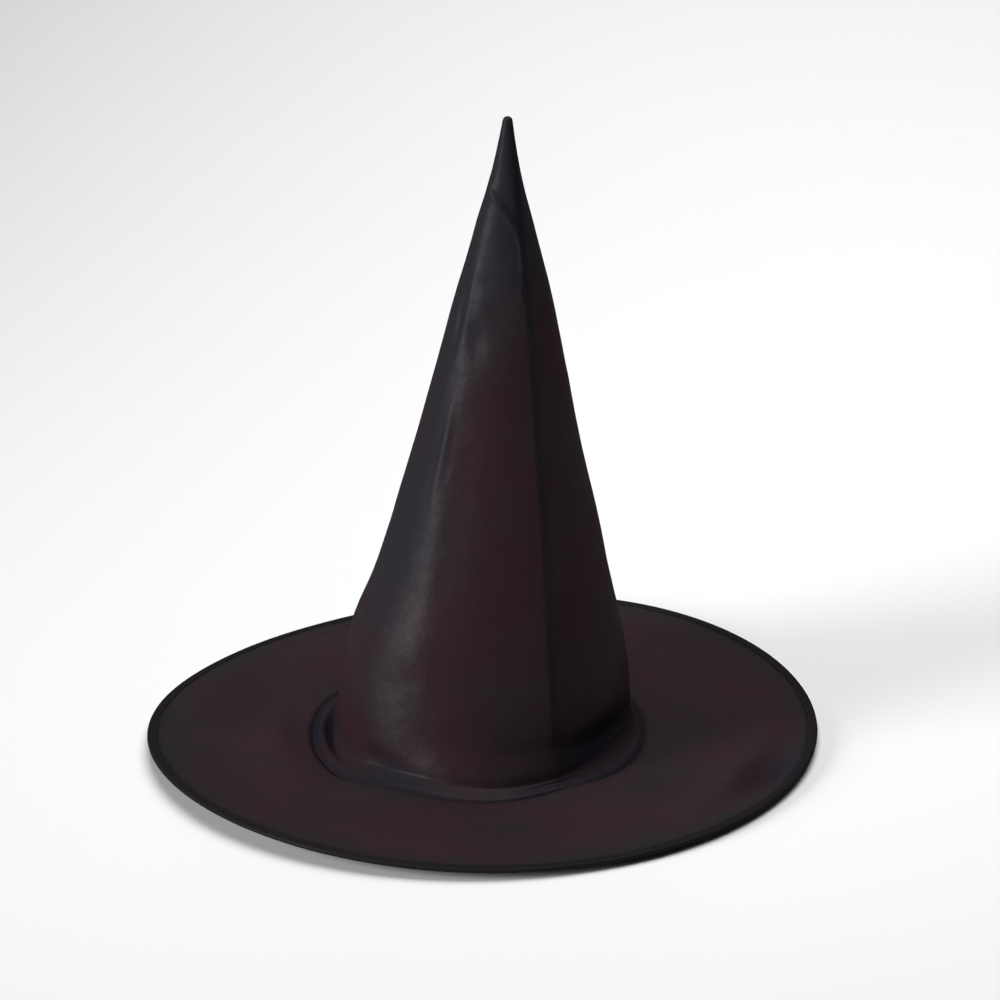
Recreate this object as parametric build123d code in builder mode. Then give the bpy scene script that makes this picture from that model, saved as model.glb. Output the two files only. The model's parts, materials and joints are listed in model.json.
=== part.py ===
from build123d import *
import math
import os

# A pointed witch hat of stiffened satin, standing on its brim.
# +Z is up, the origin is the centre of the brim's underside, -Y is the front. Millimetres.

# Brim
BRIM_RADIUS = 190.0  # to the outside of the bound edge
CLOTH = 0.35  # one layer of satin
BRIM_STIFFENER = 1.3  # brim interlining
BINDING_CLOTH = 0.4
BINDING_INNER_RADIUS = 184.5  # where the binding's two legs end
WIRE_RADIUS = 0.7
FERRULE_INNER_RADIUS = 0.75
FERRULE_OUTER_RADIUS = 0.95
FERRULE_ARC = 6.0  # degrees of the hoop that the ferrule covers
WIRE_GAP_ARC = 0.6  # degrees between the hoop's two ends

# Crown
SEAM_RADIUS = 93.6  # outside of the crown where it meets the brim
WALL_RADIUS = 83.4  # outside of the crown above its flared foot
FLARE_BOTTOM = 5.4
FLARE_TOP = 13.4
CROWN_CLOTH = 0.4
CROWN_STIFFENER = 0.45
SEAM_ALLOWANCE = 10.0
ALLOWANCE_THICKNESS = 0.8  # two layers of satin

# Height, radius and sideways lean of the crown above its straight wall
STATIONS = [
    (30.0, WALL_RADIUS, 0.0),
    (60.0, 79.5, 1.0),
    (110.0, 64.0, 5.5),
    (180.0, 46.0, 10.5),
    (260.0, 27.5, 15.0),
    (320.0, 12.0, 17.5),
    (350.0, 5.0, 18.5),
    (363.0, 3.0, 19.0),
]
INTERLINING_TOP = 330.0

# Inside the opening
LAYER_GAP = 0.05
STIFFENER_GAP = 0.1  # the glue between crown cloth and interlining
THREAD = 0.2
TAPE = 0.6
TAPE_TOP = 28.0
ALLOWANCE_TOP = 20.0  # how high the brim cloths are turned up inside the crown

# Care label, a folded loop that turns about the edge of the back seam's allowance
LABEL_BOTTOM = 81.0
LABEL_TOP = 106.0
LABEL_LENGTH = 38.0
LABEL_CLOTH = 0.2
LABEL_FOLD_RADIUS = 0.35
HINGE_CLEARANCE = 0.4
LABEL_CLEARANCE = 0.5

# Thread, as short straight stitches
STITCH_WIDTH = 0.4
BRIM_STITCHES = 240
BRIM_STITCH_LENGTH = 3.2
BRIM_STITCH_INSET = 1.2  # from the binding's inner edge
RING_STITCHES = 120
RING_STITCH_LENGTH = 3.2
TAPE_STITCH_SHARE = 0.15  # of the way up the tape's sloping face
BACK_STITCHES = 60
BACK_STITCH_LENGTH = 3.0
BACK_STITCH_BOTTOM = 34.0
BACK_STITCH_TOP = 322.0
BACK_STITCH_INSET = 1.6  # from the crown's wall
TACK_STITCHES = 5
TACK_STITCH_LENGTH = 2.4
TACK_INSET = 2.2  # from the allowance's free edge
JOIN_TACK_STITCHES = 7
JOIN_TACK_PITCH = 1.2
JOIN_TACK_AZIMUTH = 70.0  # degrees from +X, beside the back seam

# Heights of the flat brim's layers, from the floor up
UNDER_CLOTH_BOTTOM = BINDING_CLOTH
UNDER_CLOTH_TOP = UNDER_CLOTH_BOTTOM + CLOTH
TOP_CLOTH_BOTTOM = UNDER_CLOTH_TOP + BRIM_STIFFENER
SEAM_HEIGHT = TOP_CLOTH_BOTTOM + CLOTH
BINDING_TOP = SEAM_HEIGHT + BINDING_CLOTH

# The bound edge is a half round about the wire
EDGE_ROUND = BINDING_TOP / 2
EDGE_CENTRE = BRIM_RADIUS - EDGE_ROUND
LAYERS_RADIUS = EDGE_CENTRE - EDGE_ROUND

# Depths below the crown's outer face of the layers that line its foot
STIFFENER_DEPTH = CROWN_CLOTH + STIFFENER_GAP
TOP_CLOTH_DEPTH = STIFFENER_DEPTH + CROWN_STIFFENER + LAYER_GAP
UNDER_CLOTH_DEPTH = TOP_CLOTH_DEPTH + CLOTH + LAYER_GAP
SEAM_THREAD_DEPTH = UNDER_CLOTH_DEPTH + CLOTH + LAYER_GAP
TAPE_DEPTH = SEAM_THREAD_DEPTH + THREAD + LAYER_GAP
OPENING_RADIUS = SEAM_RADIUS - TAPE_DEPTH - TAPE

FLARE_ANGLE = math.atan2(SEAM_RADIUS - WALL_RADIUS, FLARE_TOP - FLARE_BOTTOM)
FLARE_MITRE = math.tan(FLARE_ANGLE / 2)
TIP_HEIGHT, TIP_RADIUS, TIP_LEAN = STATIONS[-1]


def foot_line(depth, bottom, top):
    """Lip, flare and wall of the crown's foot, parallel to its outer face at a depth."""
    return [
        (SEAM_RADIUS - depth, bottom),
        (SEAM_RADIUS - depth, FLARE_BOTTOM - FLARE_MITRE * depth),
        (WALL_RADIUS - depth, FLARE_TOP - FLARE_MITRE * depth),
        (WALL_RADIUS - depth, top),
    ]


def crown_at(height):
    """Radius and lean of the crown at a height above its straight wall."""
    for low, high in zip(STATIONS, STATIONS[1:]):
        if height <= high[0]:
            share = (height - low[0]) / (high[0] - low[0])
            return low[1] + share * (high[1] - low[1]), low[2] + share * (high[2] - low[2])
    return TIP_RADIUS, TIP_LEAN


def allowance_width(radius):
    """The back seam's allowance narrows with the cone near the tip."""
    return min(SEAM_ALLOWANCE, 0.8 * radius)


def back_point(height, inset):
    """A point in the back seam's plane, an inset in from the crown's outer face."""
    radius, lean = crown_at(height)
    return Vector(lean, radius - inset, height)


def crown_core(depth):
    """The crown as a filled solid whose surface lies a depth inside the cloth's outer face."""
    with BuildPart() as core:
        with BuildSketch(Plane.XZ):
            with BuildLine():
                Polyline(
                    (0, SEAM_HEIGHT),
                    *foot_line(depth, SEAM_HEIGHT, STATIONS[0][0]),
                    (0, STATIONS[0][0]),
                    close=True,
                )
            make_face()
        revolve(axis=Axis.Z)
        for height, radius, lean in STATIONS:
            with BuildSketch(Plane.XY.offset(height)):
                with Locations((lean, 0)):
                    Circle(radius - depth)
        loft(ruled=True)
    return core.part


def back_plate(thickness, extra):
    """A thin plate in the back seam's plane, from inside the cloth to the allowance's free edge."""
    with BuildPart() as plate:
        for height, radius, lean in STATIONS[:-1]:
            width = allowance_width(radius) + extra
            middle = radius - CROWN_CLOTH / 2 - width / 2
            with BuildSketch(Plane.XY.offset(height)):
                with Locations((lean, middle)):
                    Rectangle(thickness, width)
        loft(ruled=True)
    return plate.part


def allowance_plane(low, high, inset):
    """Work plane of a stitch on the back allowance's +X face: X along the thread, Z off the face."""
    start = back_point(low, CROWN_CLOTH + inset)
    end = back_point(high, CROWN_CLOTH + inset)
    off_face = Vector(0, 1, 0).cross(end - start)
    on_face = Plane(origin=(start + end) / 2, x_dir=end - start, z_dir=off_face)
    return on_face.offset(ALLOWANCE_THICKNESS / 2 + LAYER_GAP + THREAD / 2)


crown_outside = crown_core(0)
crown_hollow = crown_core(CROWN_CLOTH)
stiffener_outside = crown_core(STIFFENER_DEPTH)
stiffener_hollow = crown_core(STIFFENER_DEPTH + CROWN_STIFFENER)
back_allowance = back_plate(ALLOWANCE_THICKNESS, 0)
back_slot = back_plate(ALLOWANCE_THICKNESS + 4 * LAYER_GAP, 2 * CROWN_CLOTH)

with BuildPart() as crown_shell:
    add(crown_outside)
    with Locations((TIP_LEAN, 0, TIP_HEIGHT)):
        Sphere(TIP_RADIUS)
    add(crown_hollow, mode=Mode.SUBTRACT)
    add(back_allowance)

with BuildPart() as crown_interlining:
    add(stiffener_outside)
    add(stiffener_hollow, mode=Mode.SUBTRACT)
    add(back_slot, mode=Mode.SUBTRACT)
    split(bisect_by=Plane.XY.offset(INTERLINING_TOP), keep=Keep.BOTTOM)

with BuildPart() as brim_top_cloth:
    with BuildSketch(Plane.XZ):
        with BuildLine():
            Polyline(
                (LAYERS_RADIUS, TOP_CLOTH_BOTTOM),
                (LAYERS_RADIUS, SEAM_HEIGHT),
                *foot_line(TOP_CLOTH_DEPTH, SEAM_HEIGHT, ALLOWANCE_TOP),
                *reversed(foot_line(TOP_CLOTH_DEPTH + CLOTH, TOP_CLOTH_BOTTOM, ALLOWANCE_TOP)),
                close=True,
            )
        make_face()
    revolve(axis=Axis.Z)

with BuildPart() as brim_interlining:
    with BuildSketch(Plane.XY.offset(UNDER_CLOTH_TOP)):
        Circle(LAYERS_RADIUS)
        Circle(SEAM_RADIUS - TOP_CLOTH_DEPTH - CLOTH, mode=Mode.SUBTRACT)
    extrude(amount=BRIM_STIFFENER)

with BuildPart() as brim_under_cloth:
    with BuildSketch(Plane.XZ):
        with BuildLine():
            Polyline(
                (LAYERS_RADIUS, UNDER_CLOTH_BOTTOM),
                (LAYERS_RADIUS, UNDER_CLOTH_TOP),
                *foot_line(UNDER_CLOTH_DEPTH, UNDER_CLOTH_TOP, ALLOWANCE_TOP),
                *reversed(foot_line(UNDER_CLOTH_DEPTH + CLOTH, UNDER_CLOTH_BOTTOM, ALLOWANCE_TOP)),
                close=True,
            )
        make_face()
    revolve(axis=Axis.Z)

with BuildPart() as brim_edge_binding:
    with BuildSketch(Plane.XZ):
        with BuildLine():
            Line((BINDING_INNER_RADIUS, 0), (EDGE_CENTRE, 0))
            ThreePointArc((EDGE_CENTRE, 0), (BRIM_RADIUS, EDGE_ROUND), (EDGE_CENTRE, BINDING_TOP))
            Polyline(
                (EDGE_CENTRE, BINDING_TOP),
                (BINDING_INNER_RADIUS, BINDING_TOP),
                (BINDING_INNER_RADIUS, SEAM_HEIGHT),
                (EDGE_CENTRE, SEAM_HEIGHT),
            )
            ThreePointArc(
                (EDGE_CENTRE, SEAM_HEIGHT),
                (BRIM_RADIUS - BINDING_CLOTH, EDGE_ROUND),
                (EDGE_CENTRE, BINDING_CLOTH),
            )
            Polyline(
                (EDGE_CENTRE, BINDING_CLOTH),
                (BINDING_INNER_RADIUS, BINDING_CLOTH),
                (BINDING_INNER_RADIUS, 0),
            )
        make_face()
    revolve(axis=Axis.Z)

# The hoop's two ends meet at the back, inside the ferrule
back_of_gap = Plane.XZ.rotated((0, 0, 90 + WIRE_GAP_ARC / 2))
with BuildPart() as brim_wire:
    with BuildSketch(back_of_gap):
        with Locations((EDGE_CENTRE, EDGE_ROUND)):
            Circle(WIRE_RADIUS)
    revolve(axis=Axis.Z, revolution_arc=360 - WIRE_GAP_ARC)

start_of_ferrule = Plane.XZ.rotated((0, 0, 90 - FERRULE_ARC / 2))
with BuildPart() as brim_wire_ferrule:
    with BuildSketch(start_of_ferrule):
        with Locations((EDGE_CENTRE, EDGE_ROUND)):
            Circle(FERRULE_OUTER_RADIUS)
            Circle(FERRULE_INNER_RADIUS, mode=Mode.SUBTRACT)
    revolve(axis=Axis.Z, revolution_arc=FERRULE_ARC)

with BuildPart() as head_tape:
    with BuildSketch(Plane.XZ):
        with BuildLine():
            Polyline(
                *foot_line(TAPE_DEPTH, UNDER_CLOTH_BOTTOM, TAPE_TOP),
                *reversed(foot_line(TAPE_DEPTH + TAPE, UNDER_CLOTH_BOTTOM, TAPE_TOP)),
                close=True,
            )
        make_face()
    revolve(axis=Axis.Z)

with BuildPart(Plane.XY.offset(BINDING_TOP + THREAD / 2)) as brim_edge_stitching:
    with PolarLocations(BINDING_INNER_RADIUS + BRIM_STITCH_INSET, BRIM_STITCHES):
        Box(STITCH_WIDTH, BRIM_STITCH_LENGTH, THREAD)

# Between the turned-up brim cloth and the tape, on the upright lip of the foot
LIP_STITCH_HEIGHT = (UNDER_CLOTH_BOTTOM + FLARE_BOTTOM - FLARE_MITRE * TAPE_DEPTH) / 2
with BuildPart(Plane.XY.offset(LIP_STITCH_HEIGHT)) as base_seam_stitching:
    with PolarLocations(SEAM_RADIUS - SEAM_THREAD_DEPTH - THREAD / 2, RING_STITCHES):
        Box(THREAD, RING_STITCH_LENGTH, STITCH_WIDTH)

# On the tape's sloping face, just above its upright lip
lip_corner, wall_corner = foot_line(TAPE_DEPTH + TAPE, UNDER_CLOTH_BOTTOM, TAPE_TOP)[1:3]
row_radius = lip_corner[0] + TAPE_STITCH_SHARE * (wall_corner[0] - lip_corner[0])
row_height = lip_corner[1] + TAPE_STITCH_SHARE * (wall_corner[1] - lip_corner[1])
off_face = LAYER_GAP + THREAD / 2
row_radius -= off_face * math.cos(FLARE_ANGLE)
row_height -= off_face * math.sin(FLARE_ANGLE)
with BuildPart(Plane.XY.offset(row_height)) as head_tape_stitching:
    with PolarLocations(row_radius, RING_STITCHES):
        with Locations(Location((0, 0, 0), (0, -math.degrees(FLARE_ANGLE), 0))):
            Box(THREAD, RING_STITCH_LENGTH, STITCH_WIDTH)

# A short column of stitches across the tape's overlapped ends, on its upright wall
tape_face = WALL_RADIUS - TAPE_DEPTH - TAPE - LAYER_GAP
join_column = Plane.XY.rotated((0, 0, JOIN_TACK_AZIMUTH)).offset((FLARE_TOP + TAPE_TOP) / 2)
with BuildPart(join_column) as head_tape_join_tack:
    for number in range(JOIN_TACK_STITCHES):
        rise = (number - (JOIN_TACK_STITCHES - 1) / 2) * JOIN_TACK_PITCH
        with Locations((tape_face - THREAD / 2, 0, rise)):
            Box(THREAD, TACK_STITCH_LENGTH, STITCH_WIDTH)

back_pitch = (BACK_STITCH_TOP - BACK_STITCH_BOTTOM) / BACK_STITCHES
with BuildPart() as crown_seam_stitching:
    for number in range(BACK_STITCHES):
        low = BACK_STITCH_BOTTOM + number * back_pitch
        with Locations(allowance_plane(low, low + back_pitch, BACK_STITCH_INSET)):
            Box(BACK_STITCH_LENGTH, STITCH_WIDTH, THREAD)

tack_pitch = (LABEL_TOP - LABEL_BOTTOM) / TACK_STITCHES
with BuildPart() as care_label_tack:
    for number in range(TACK_STITCHES):
        low = LABEL_BOTTOM + number * tack_pitch
        with Locations(allowance_plane(low, low + tack_pitch, SEAM_ALLOWANCE - TACK_INSET)):
            Box(TACK_STITCH_LENGTH, STITCH_WIDTH, THREAD)

# The label's own plane: X away from the hinge, Z along it
hinge_bottom = back_point(LABEL_BOTTOM, CROWN_CLOTH / 2 + SEAM_ALLOWANCE + HINGE_CLEARANCE)
hinge_top = back_point(LABEL_TOP, CROWN_CLOTH / 2 + SEAM_ALLOWANCE + HINGE_CLEARANCE)
hinge_line = Plane(
    origin=(hinge_bottom + hinge_top) / 2,
    x_dir=Vector(0, -1, 0),
    z_dir=hinge_top - hinge_bottom,
)
fold_centre = LABEL_CLEARANCE + LABEL_LENGTH - LABEL_FOLD_RADIUS
with BuildPart() as care_label:
    with BuildSketch(hinge_line):
        with Locations(((LABEL_CLEARANCE + fold_centre) / 2, 0)):
            Rectangle(fold_centre - LABEL_CLEARANCE, 2 * LABEL_FOLD_RADIUS)
        with Locations((fold_centre, 0)):
            Circle(LABEL_FOLD_RADIUS)
        with Locations(((LABEL_CLEARANCE + fold_centre) / 2, 0)):
            Rectangle(
                fold_centre - LABEL_CLEARANCE,
                2 * (LABEL_FOLD_RADIUS - LABEL_CLOTH),
                mode=Mode.SUBTRACT,
            )
    extrude(amount=(LABEL_TOP - LABEL_BOTTOM) / 2, both=True)

PIECES = {
    "crown_shell": crown_shell,
    "crown_interlining": crown_interlining,
    "crown_seam_stitching": crown_seam_stitching,
    "brim_top_cloth": brim_top_cloth,
    "brim_under_cloth": brim_under_cloth,
    "brim_interlining": brim_interlining,
    "brim_edge_binding": brim_edge_binding,
    "brim_edge_stitching": brim_edge_stitching,
    "brim_wire": brim_wire,
    "brim_wire_ferrule": brim_wire_ferrule,
    "base_seam_stitching": base_seam_stitching,
    "head_tape": head_tape,
    "head_tape_stitching": head_tape_stitching,
    "head_tape_join_tack": head_tape_join_tack,
    "care_label": care_label,
    "care_label_tack": care_label_tack,
}

os.makedirs("parts", exist_ok=True)
for name, piece in PIECES.items():
    piece.part.label = name
    export_step(piece.part, f"parts/{name}.step")

print("opening radius", round(OPENING_RADIUS, 3))
print("hinge point", hinge_line.origin, "axis", hinge_line.z_dir)
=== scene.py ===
"""A pointed witch hat of black satin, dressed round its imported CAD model.

Metres in Blender, millimetres in the shape functions. +Z is up, the front is -Y, and an azimuth is
measured in degrees from the front towards +X.
"""

import json
import math

import bpy
import bmesh
import numpy as np
from mathutils import Matrix, Vector, noise


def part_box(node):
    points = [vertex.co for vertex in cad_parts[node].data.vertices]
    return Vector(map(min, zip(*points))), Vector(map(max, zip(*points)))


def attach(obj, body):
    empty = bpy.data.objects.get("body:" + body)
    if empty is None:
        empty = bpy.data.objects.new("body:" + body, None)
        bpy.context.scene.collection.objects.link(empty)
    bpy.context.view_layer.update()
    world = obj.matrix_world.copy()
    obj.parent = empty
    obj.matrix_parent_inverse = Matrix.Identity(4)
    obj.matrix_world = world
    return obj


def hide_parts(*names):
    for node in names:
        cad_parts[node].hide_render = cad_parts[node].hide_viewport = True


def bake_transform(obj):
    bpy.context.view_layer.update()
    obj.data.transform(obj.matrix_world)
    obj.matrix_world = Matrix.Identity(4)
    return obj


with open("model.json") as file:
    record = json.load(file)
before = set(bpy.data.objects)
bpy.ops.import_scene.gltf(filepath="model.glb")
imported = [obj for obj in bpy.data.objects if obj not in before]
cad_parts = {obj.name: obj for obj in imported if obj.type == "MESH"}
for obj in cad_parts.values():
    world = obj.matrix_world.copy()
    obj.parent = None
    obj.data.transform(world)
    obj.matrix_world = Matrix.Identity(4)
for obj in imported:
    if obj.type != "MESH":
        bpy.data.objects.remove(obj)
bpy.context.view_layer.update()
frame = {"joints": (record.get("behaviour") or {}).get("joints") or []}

MM = 0.001
HAT = "hat"
DETAIL = 1.0


# -------- sizes from the frame, in mm


def box_mm(node):
    """Lowest and highest corner of a CAD node, in millimetres."""
    low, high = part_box(node)
    return np.array(low) / MM, np.array(high) / MM


BRIM_RADIUS = box_mm("brim_edge_binding")[1][0]
BINDING_TOP = box_mm("brim_edge_binding")[1][2]
LAYERS_RADIUS = box_mm("brim_interlining")[1][0]
TAPE_RADIUS = 85.0  # of the circle that the head tape's length is measured on
UNDER_CLOTH_BOTTOM = box_mm("brim_under_cloth")[0][2]
STIFFENER_BOTTOM, STIFFENER_TOP = (corner[2] for corner in box_mm("brim_interlining"))
SEAM_RADIUS = box_mm("crown_shell")[1][0]
SEAM_HEIGHT = box_mm("crown_shell")[0][2]
TIP_HEIGHT = box_mm("crown_shell")[1][2]
STITCH_RADIUS = box_mm("brim_edge_stitching")[1][0] - 0.2
WIRE_RADIUS = (box_mm("brim_wire")[1][2] - box_mm("brim_wire")[0][2]) / 2
EDGE_ROUND = BINDING_TOP / 2
EDGE_CENTRE = BRIM_RADIUS - EDGE_ROUND
BINDING_INNER = 2 * STITCH_RADIUS - EDGE_CENTRE + 1.5
TAPE_TOP = box_mm("head_tape")[1][2]
ALLOWANCE_TOP = box_mm("brim_top_cloth")[1][2]
INTERLINING_BOTTOM = 4.0
INTERLINING_TOP = box_mm("crown_interlining")[1][2]

CLOTH = 0.35
CROWN_CLOTH = 0.4
RAW_EDGE = 1.3  # how far the crown's cloth goes down into the seam
STIFFENER_INSET = 0.2  # so that the stiffener stays hidden between the waving cloths
LIFT = 2.7  # so that the waving brim just clears the floor

# depths below the crown's outer face of what lies inside it
TOP_CLOTH_DEPTH = 1.175
UNDER_CLOTH_DEPTH = 1.6
SEAM_THREAD_DEPTH = 1.9
TAPE_DEPTH = 2.05
TAPE_BACK_DEPTH = 2.6
TAPE_THREAD_DEPTH = 2.72
TACK_THREAD_DEPTH = 3.18


# -------- curves and bumps


def soft(x, low, high):
    """0 below low, 1 above high, smooth between."""
    t = np.clip((x - low) / (high - low), 0, 1)
    return t * t * (3 - 2 * t)


def bell(x, width):
    return np.exp(-((x / width) ** 2))


def turn(azimuth):
    """The same direction as an azimuth from -180 to 180 degrees."""
    return (azimuth + 180) % 360 - 180


def facing(azimuth, at, width):
    """A bell round the hat: 1 at one azimuth, fading on both sides."""
    return bell(turn(azimuth - at), width)


def through(x, knots):
    """A smooth curve through listed (x, y) knots."""
    xs, ys = np.array(knots, float).T
    slope = np.gradient(ys, xs)
    i = np.clip(np.searchsorted(xs, x) - 1, 0, len(xs) - 2)
    span = xs[i + 1] - xs[i]
    t = np.clip((x - xs[i]) / span, 0, 1)
    start = (2 * t**3 - 3 * t**2 + 1) * ys[i] + (t**3 - 2 * t**2 + t) * span * slope[i]
    end = (3 * t**2 - 2 * t**3) * ys[i + 1] + (t**3 - t**2) * span * slope[i + 1]
    return start + end


def round_about(azimuth, knots):
    """The same, closed round the hat: knots are (azimuth, value) from -180 up."""
    before = [(a - 360, v) for a, v in knots[-3:]]
    after = [(a + 360, v) for a, v in knots[:3]]
    return through(turn(azimuth), before + knots + after)


def lumps(azimuth, along, places):
    """Soft hills and hollows: (azimuth, place, azimuth width, width, height) each."""
    total = np.zeros(np.broadcast(azimuth, along).shape)
    for at, place, wide, long, height in places:
        total = total + height * facing(azimuth, at, wide) * bell(along - place, long)
    return total


def grain(points, size, seed):
    """Smooth random relief from -1 to 1 with lumps of a size in mm."""
    flat = points.reshape(-1, 3) / size + seed
    values = [noise.noise(Vector(p)) for p in flat]
    return np.array(values).reshape(points.shape[:-1])


def direction(azimuth):
    a = np.radians(azimuth)
    return np.stack([np.sin(a), -np.cos(a)], axis=-1)


def unit(vectors):
    return vectors / np.maximum(np.linalg.norm(vectors, axis=-1, keepdims=True), 1e-9)


def running(steps):
    """How far the steps have come, from 0 on."""
    return np.concatenate([[0], np.cumsum(steps)])


def distance_along(path):
    """How far along a line of points each of them lies."""
    return running(np.linalg.norm(np.diff(path, axis=0), axis=1))


def spread_out(fine, density, shares):
    """Places along fine that leave these shares of the summed density before them."""
    total = running((density[1:] + density[:-1]) / 2)
    return np.interp(shares * total[-1], total, fine)


# -------- the brim's shape

RIM_HEIGHT = 4.3
RIM_WAVE = [(1, 0.1, 0.0), (2, -0.23, -4.18), (3, -0.83, 1.03)]  # order, cosine, sine
SEAM_CENTRE = np.array([-2.9, -3.5])
SEAM_RING_RADIUS = 94.6
SEAM_RING_HEIGHT = 2.6
# azimuth, outwards, upwards
SEAM_SHAPE = [
    (-180, 0, 0), (-150, 0.8, 0.5), (-118, 2.4, 1.4), (-100, 0.2, 0.3), (-85, -0.6, 0.2), (-69, 0.2, 0),
    (-53, 1.2, -0.5), (-42, -1.0, 0.6), (-33, -3.4, 2.0), (-24, -3.0, 1.7), (-14, -1.4, 0.9),
    (0, 0.6, -0.2), (12, 0.5, -0.3), (22, -0.6, 0.2), (31, -1.3, 0.8), (42, 0, 0.2), (55, 1.0, -0.5),
    (66, 0.8, -0.4), (80, -0.5, 0.2), (95, -0.6, 0.3), (112, 1.2, 0.8), (150, 0.4, 0.3),
]
# azimuth, radius, azimuth width, radial width, height
BRIM_LUMPS = [
    (-142, 171, 26, 9, 2.3), (-138, 150, 22, 10, -1.2), (66, 173, 12, 8, -3.4), (62, 155, 14, 9, 3.4),
    (88, 160, 10, 10, 2.2), (-88, 111, 24, 20, 2.6), (-112, 136, 15, 20, -2.0), (-62, 150, 16, 18, -1.6),
    (-30, 128, 18, 20, -1.4), (-8, 150, 16, 18, 1.4), (28, 138, 16, 20, -1.3), (44, 120, 10, 14, 1.6),
    (110, 128, 16, 16, -1.3), (150, 150, 20, 18, 1.6), (-170, 130, 18, 18, -1.3),
]


def groove_depth(azimuth):
    """How deep the seam is drawn in: nearly lost where the brim cloth puckers over it."""
    lost = 0.85 * facing(azimuth, -46, 7) + 0.8 * facing(azimuth, 39, 9)
    return 1.1 * (1 - np.clip(lost, 0, 0.9))


def rim_height(azimuth):
    a = np.radians(azimuth)
    wave = sum(c * np.cos(n * a) + s * np.sin(n * a) for n, c, s in RIM_WAVE)
    return RIM_HEIGHT + wave


def seam_ring(azimuth):
    """Points of the seam between crown and brim, on top of the brim cloth."""
    radius = SEAM_RING_RADIUS + round_about(azimuth, [(a, out) for a, out, _ in SEAM_SHAPE])
    height = SEAM_RING_HEIGHT + round_about(azimuth, [(a, up) for a, _, up in SEAM_SHAPE])
    plan = SEAM_CENTRE + radius[..., None] * direction(azimuth)
    return np.concatenate([plan, height[..., None]], axis=-1)


def brim_points(azimuth, radius, height):
    """Points of the waving brim where the flat CAD brim has this radius and height."""
    azimuth, radius, height = np.broadcast_arrays(azimuth, radius, height)
    share = (radius - SEAM_RADIUS) / (BRIM_RADIUS - SEAM_RADIUS)
    seam = seam_ring(azimuth)
    rim = BRIM_RADIUS * direction(azimuth)
    plan = seam[..., :2] + share[..., None] * (rim - seam[..., :2])
    low_seam = seam[..., 2] - SEAM_HEIGHT
    low_rim = rim_height(azimuth) - EDGE_ROUND
    ease = np.clip(share, 0, 1) ** 1.15
    base = low_seam + ease * (low_rim - low_seam)
    off_seam = np.clip(radius - SEAM_RADIUS, 0, None)
    inner = bell(off_seam, 12) * soft(off_seam, 0.5, 5)
    a = np.radians(azimuth)
    pucker = 0.40 * np.sin(a * 34 + 1.3) * facing(azimuth, -40, 13)
    pucker = pucker + 0.35 * np.sin(a * 30) * facing(azimuth, 40, 18)
    pucker = pucker + 0.15 * np.sin(a * 31) * np.sin(a * 5)
    fade = soft(share, 0.0, 0.25) * (1 - soft(share, 0.93, 1.0))
    base = base + lumps(azimuth, radius, BRIM_LUMPS) * fade + pucker * inner
    base = 0.5 * np.logaddexp(0, (base + LIFT) / 0.5)
    return np.concatenate([plan, (base + height)[..., None]], axis=-1)


# -------- the crown's shape

CROWN_RADIUS = [
    (0, 84.0), (12, 83.7), (25, 83.0), (45, 81.4), (70, 76.3), (100, 66.5), (140, 56.2), (180, 46.0),
    (220, 36.7), (260, 27.6), (300, 17.2), (330, 9.2), (345, 5.9), (357, 3.8), (364, 2.7),
]
CROWN_LEAN = [(0, 1.6), (45, 1.2), (70, 2.3), (100, 5.8), (180, 11.0), (260, 15.2), (330, 17.7), (364, 19.2)]
TIP_ROUND = 2.4
CREASE = 26.8  # azimuth of the long pressed crease
BACK_CREASE = -153.2
# creased side, soft side, flatness
FACETS = [(CREASE, -64, 0.30), (CREASE, 100, 0.28), (BACK_CREASE + 360, 120, 0.08), (BACK_CREASE, -84, 0.28)]
FOOT_HEIGHT = [
    (-180, 13), (-130, 12), (-92, 9.5), (-62, 8), (-40, 9), (-24, 10), (-8, 7.5), (8, 6.5), (30, 8),
    (52, 11), (75, 12.5), (110, 12), (150, 12),
]
# azimuth, height, azimuth width, height width, outwards
WALL_LUMPS = [
    (-57, 7, 9, 5.5, 1.8), (-45, 12, 7, 5, -1.6), (0, 7, 32, 16, 9.1), (56, 18, 24, 7, -3.6),
    (16, 22, 14, 7, -2.0), (-46, 20, 16, 16, 1.5), (-46, 56, 14, 12, -0.7), (46, 62, 12, 22, 1.4),
    (70, 40, 14, 18, 1.0), (-30, 82, 12, 32, 1.1), (-38, 124, 10, 36, 1.0), (-44, 184, 4, 24, 0.9),
    (-30, 264, 12, 8, 0.7), (-46, 222, 8, 8, -0.5), (-32, 246, 15, 15, -1.5), (-10, 254, 10, 8, -0.5),
    (-57, 252, 6, 18, -1.2), (-48, 270, 5, 14, 0.3), (-70, 150, 10, 40, -0.8), (-14, 110, 16, 40, 0.6),
    (4, 60, 18, 26, -0.7), (-92, 48, 22, 22, -2.2), (120, 110, 20, 50, 1.2), (138, 75, 14, 40, -1.2),
    (-128, 190, 16, 36, 1.0),
]
# The step where the tip is tucked behind the crown's front, as (azimuth, height)
TIP_FOLD = [(-66, 328), (-40, 323.5), (-15, 319), (10, 312), (25, 304), (30, 295), (27, 284)]


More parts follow.
